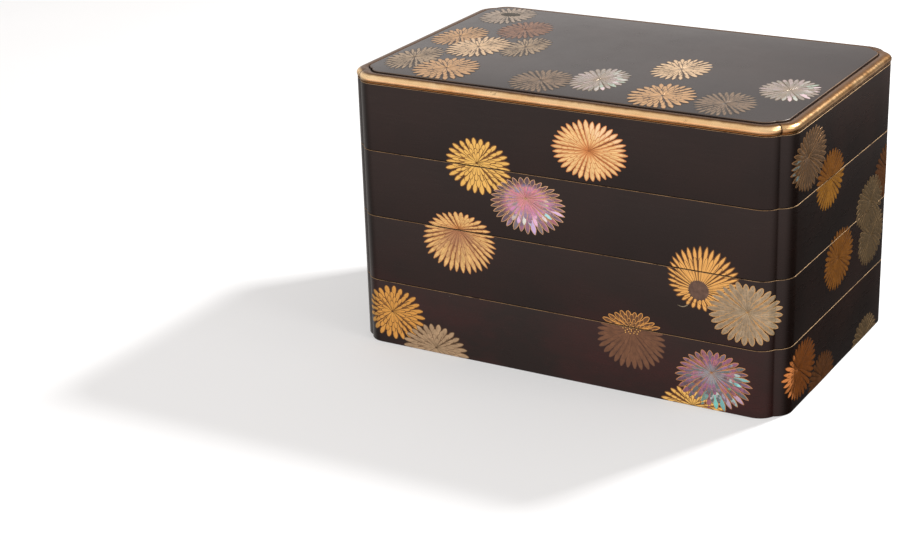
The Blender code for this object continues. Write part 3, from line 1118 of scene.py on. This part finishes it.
def make_flowers():
    for seed, (name, row) in enumerate(WALL_FLOWERS.items(), WALL_SEED):
        finish, look, centre, half, shift, *rest = row
        head = make_flower(seed, millimetres(half), millimetres(shift), *rest, LIGHT_FROM.get(name, 0))
        looks = LOOKS_BY_TRAY.get(look) or LOOKS[look]
        lay_and_free(head, on_walls, millimetres(centre), finish, looks)
    for seed, (finish, look, centre, half, *rest) in enumerate(LID_FLOWERS.values(), LID_SEED):
        head = make_flower(seed, millimetres(half), (0, 0), *rest, 0)
        lay_and_free(head, on_panel, millimetres(centre), finish, LOOKS[look])

    # The flower seen from behind: its brown calyx and curled stem
    calyx = make_boss(millimetres((6.6, 6.2)), 0.24 * MM, 0.4)
    lay_and_free(calyx, on_walls, millimetres((79.8, 63.7)), "copper", LOOKS["brown_disc"])
    stem = make_stroke(curve_points((68.6, 54.0), (73.0, 51.6), (76.4, 58.6)), 0.35 * MM, 0.20 * MM)
    lay_and_free(stem, on_walls, (0, 0), "silver", LOOKS["beige_silver"])

    # Gold pollen dots in the brown flower's centre
    dice = random.Random(POLLEN_SEED)
    for i in range(22):
        turn = i * 2.4
        reach = 0.75 * sqrt(i)
        dot = make_boss(millimetres((0.42, 0.42)), 0.26 * MM, dice.random())
        centre = millimetres((42.9 + 1.5 * reach * cos(turn), 35.6 + 0.8 * reach * sin(turn)))
        lay_and_free(dot, on_walls, centre, "gold", LOOKS["back_gold"])

    # The olive patch over the far flower of the lid
    patch = make_boss(millimetres((8.0, 5.5)), 0.24 * MM, 0.5)
    lay_and_free(patch, on_panel, millimetres((-99.0, 57.0)), "silver", LOOKS["olive_patch"])

    for (node_name, slot), gathered in collectors.items():
        name = f"{node_name}_{slot}_flowers"
        new_piece(name, finish_mesh(name, gathered.body, gathered.materials, 60), [])


# Studio

AIM = Vector((0, 0, 60 * MM))
SKY = (0.86, 0.82, 0.80, 1)
DIM_SKY = (0.14, 0.125, 0.12, 1)
LOW_GREY = (0.60, 0.52, 0.49, 1)
BACK_LEFT_GREY = (0.50, 0.47, 0.45, 1)
WARM_FRONT = (1.26, 0.98, 0.92, 1)
BLACK = (0, 0, 0, 1)


def make_floor():
    body = bmesh.new()
    bmesh.ops.create_grid(body, x_segments=8, y_segments=8, size=FLOOR_HALF)
    mesh = finish_mesh("studio_floor", body, [floor_material()])
    floor = bpy.data.objects.new("studio_floor", mesh)
    floor.location.z = -FLOOR_DROP
    floor.visible_glossy = False
    bpy.context.scene.collection.objects.link(floor)


def make_light(name, direction, distance, size, power):
    """A square white light at a distance in the given direction, which faces the box."""
    data = bpy.data.lights.new(name, "AREA")
    data.shape = "SQUARE"
    data.size = size
    data.energy = power
    light = bpy.data.objects.new(name, data)
    light.location = AIM + Vector(direction).normalized() * distance
    light.rotation_euler = (AIM - light.location).to_track_quat("-Z", "Y").to_euler()
    bpy.context.scene.collection.objects.link(light)


def heading(tree, parts, x, y, low, high):
    """1 where a direction of the world points along a level heading, and 0 where it points away."""
    return spread(tree, plus(tree, times(tree, parts["X"], x), times(tree, parts["Y"], y)), low, high)


def make_world():
    """White studio light from above, dim towards the back right.

    What polished faces reflect from below is warm and bright in front and paler at the back left.
    """
    world = bpy.data.worlds.new("soft_studio")
    world.use_nodes = True
    tree = world.node_tree
    parts = place_parts(tree, "Generated")
    up = parts["Z"]
    front = heading(tree, parts, 0.25, -0.97, 0.05, 0.60)
    front = times(tree, front, spread(tree, up, -0.46, -0.38, 0.55, 1.0))
    back_left = heading(tree, parts, -0.80, 0.60, 0.3, 0.8)
    low = blend(tree, spread(tree, up, -0.34, -0.12), BLACK, LOW_GREY)
    low = blend(tree, back_left, low, BACK_LEFT_GREY)
    low = blend(tree, front, low, WARM_FRONT)
    dim = times(tree, heading(tree, parts, 0.59, 0.81, 0.38, 0.85), spread(tree, up, 0.90, 0.45))
    high = blend(tree, dim, SKY, DIM_SKY)
    tone = blend(tree, spread(tree, up, -0.12, 0.06), low, high)
    feed(tree, tree.nodes["Background"], {"Color": tone, "Strength": 1.0})
    bpy.context.scene.world = world


CAMERA_PLACE = Vector((0.4553, -0.9442, 0.4468))
CAMERA_YAW = radians(30.98)
CAMERA_PITCH = radians(21.49)
CAMERA_ROLL = radians(-1.97)
CAMERA_LENS = 81.35
SENSOR_WIDTH = 36.0


def make_camera():
    forward = Vector((
        -sin(CAMERA_YAW) * cos(CAMERA_PITCH), cos(CAMERA_YAW) * cos(CAMERA_PITCH), -sin(CAMERA_PITCH),
    ))
    level = Vector((cos(CAMERA_YAW), sin(CAMERA_YAW), 0))
    upright = level.cross(forward)
    right = cos(CAMERA_ROLL) * level + sin(CAMERA_ROLL) * upright
    up = cos(CAMERA_ROLL) * upright - sin(CAMERA_ROLL) * level
    data = bpy.data.cameras.new("camera")
    data.sensor_width = SENSOR_WIDTH
    data.lens = CAMERA_LENS
    camera = bpy.data.objects.new("camera", data)
    turn = Matrix((right, up, -forward)).transposed().to_4x4()
    camera.matrix_world = Matrix.Translation(CAMERA_PLACE) @ turn
    bpy.context.scene.collection.objects.link(camera)
    bpy.context.scene.camera = camera


make_camera()
make_world()
make_floor()
make_light("key", (0.455, 0.70, 0.91), 1.24, 0.13, 22)
make_light("side", (1.0, -0.10, 0.85), 1.5, 0.7, 6)

WALL_LACQUER = outer_lacquer_material("wall_lacquer")
EDGE_GOLD = gold_material("edge_gold", paint(186, 156, 118), paint(140, 112, 82), 0.45)
INNER_LACQUER = lacquer_material("inner_lacquer", paint(20, 15, 14), paint(26, 19, 17), 0.38, 1.45)
PANEL_LACQUER = lacquer_material("panel_lacquer", paint(30, 22, 20), paint(38, 28, 25), 0.24, 1.47)
GROOVE_LACQUER = lacquer_material("groove_lacquer", paint(30, 17, 12), paint(44, 26, 16), 0.45, 1.40)
# Painted highlight: the panel's rounded edge is lacquered paler, a thin light line round the panel
PANEL_EDGE_HIGHLIGHT = lacquer_material("panel_edge_highlight", paint(60, 46, 38), paint(110, 86, 62), 0.35, 1.45)
BEAD_GOLD = bead_material("bead_gold")

for tray in TRAY_NAMES:
    make_tray(tray, [WALL_LACQUER, EDGE_GOLD, INNER_LACQUER])
make_lid([BEAD_GOLD, PANEL_LACQUER, GROOVE_LACQUER, INNER_LACQUER, PANEL_EDGE_HIGHLIGHT])
make_flowers()

bpy.context.scene.view_settings.view_transform = "Standard"
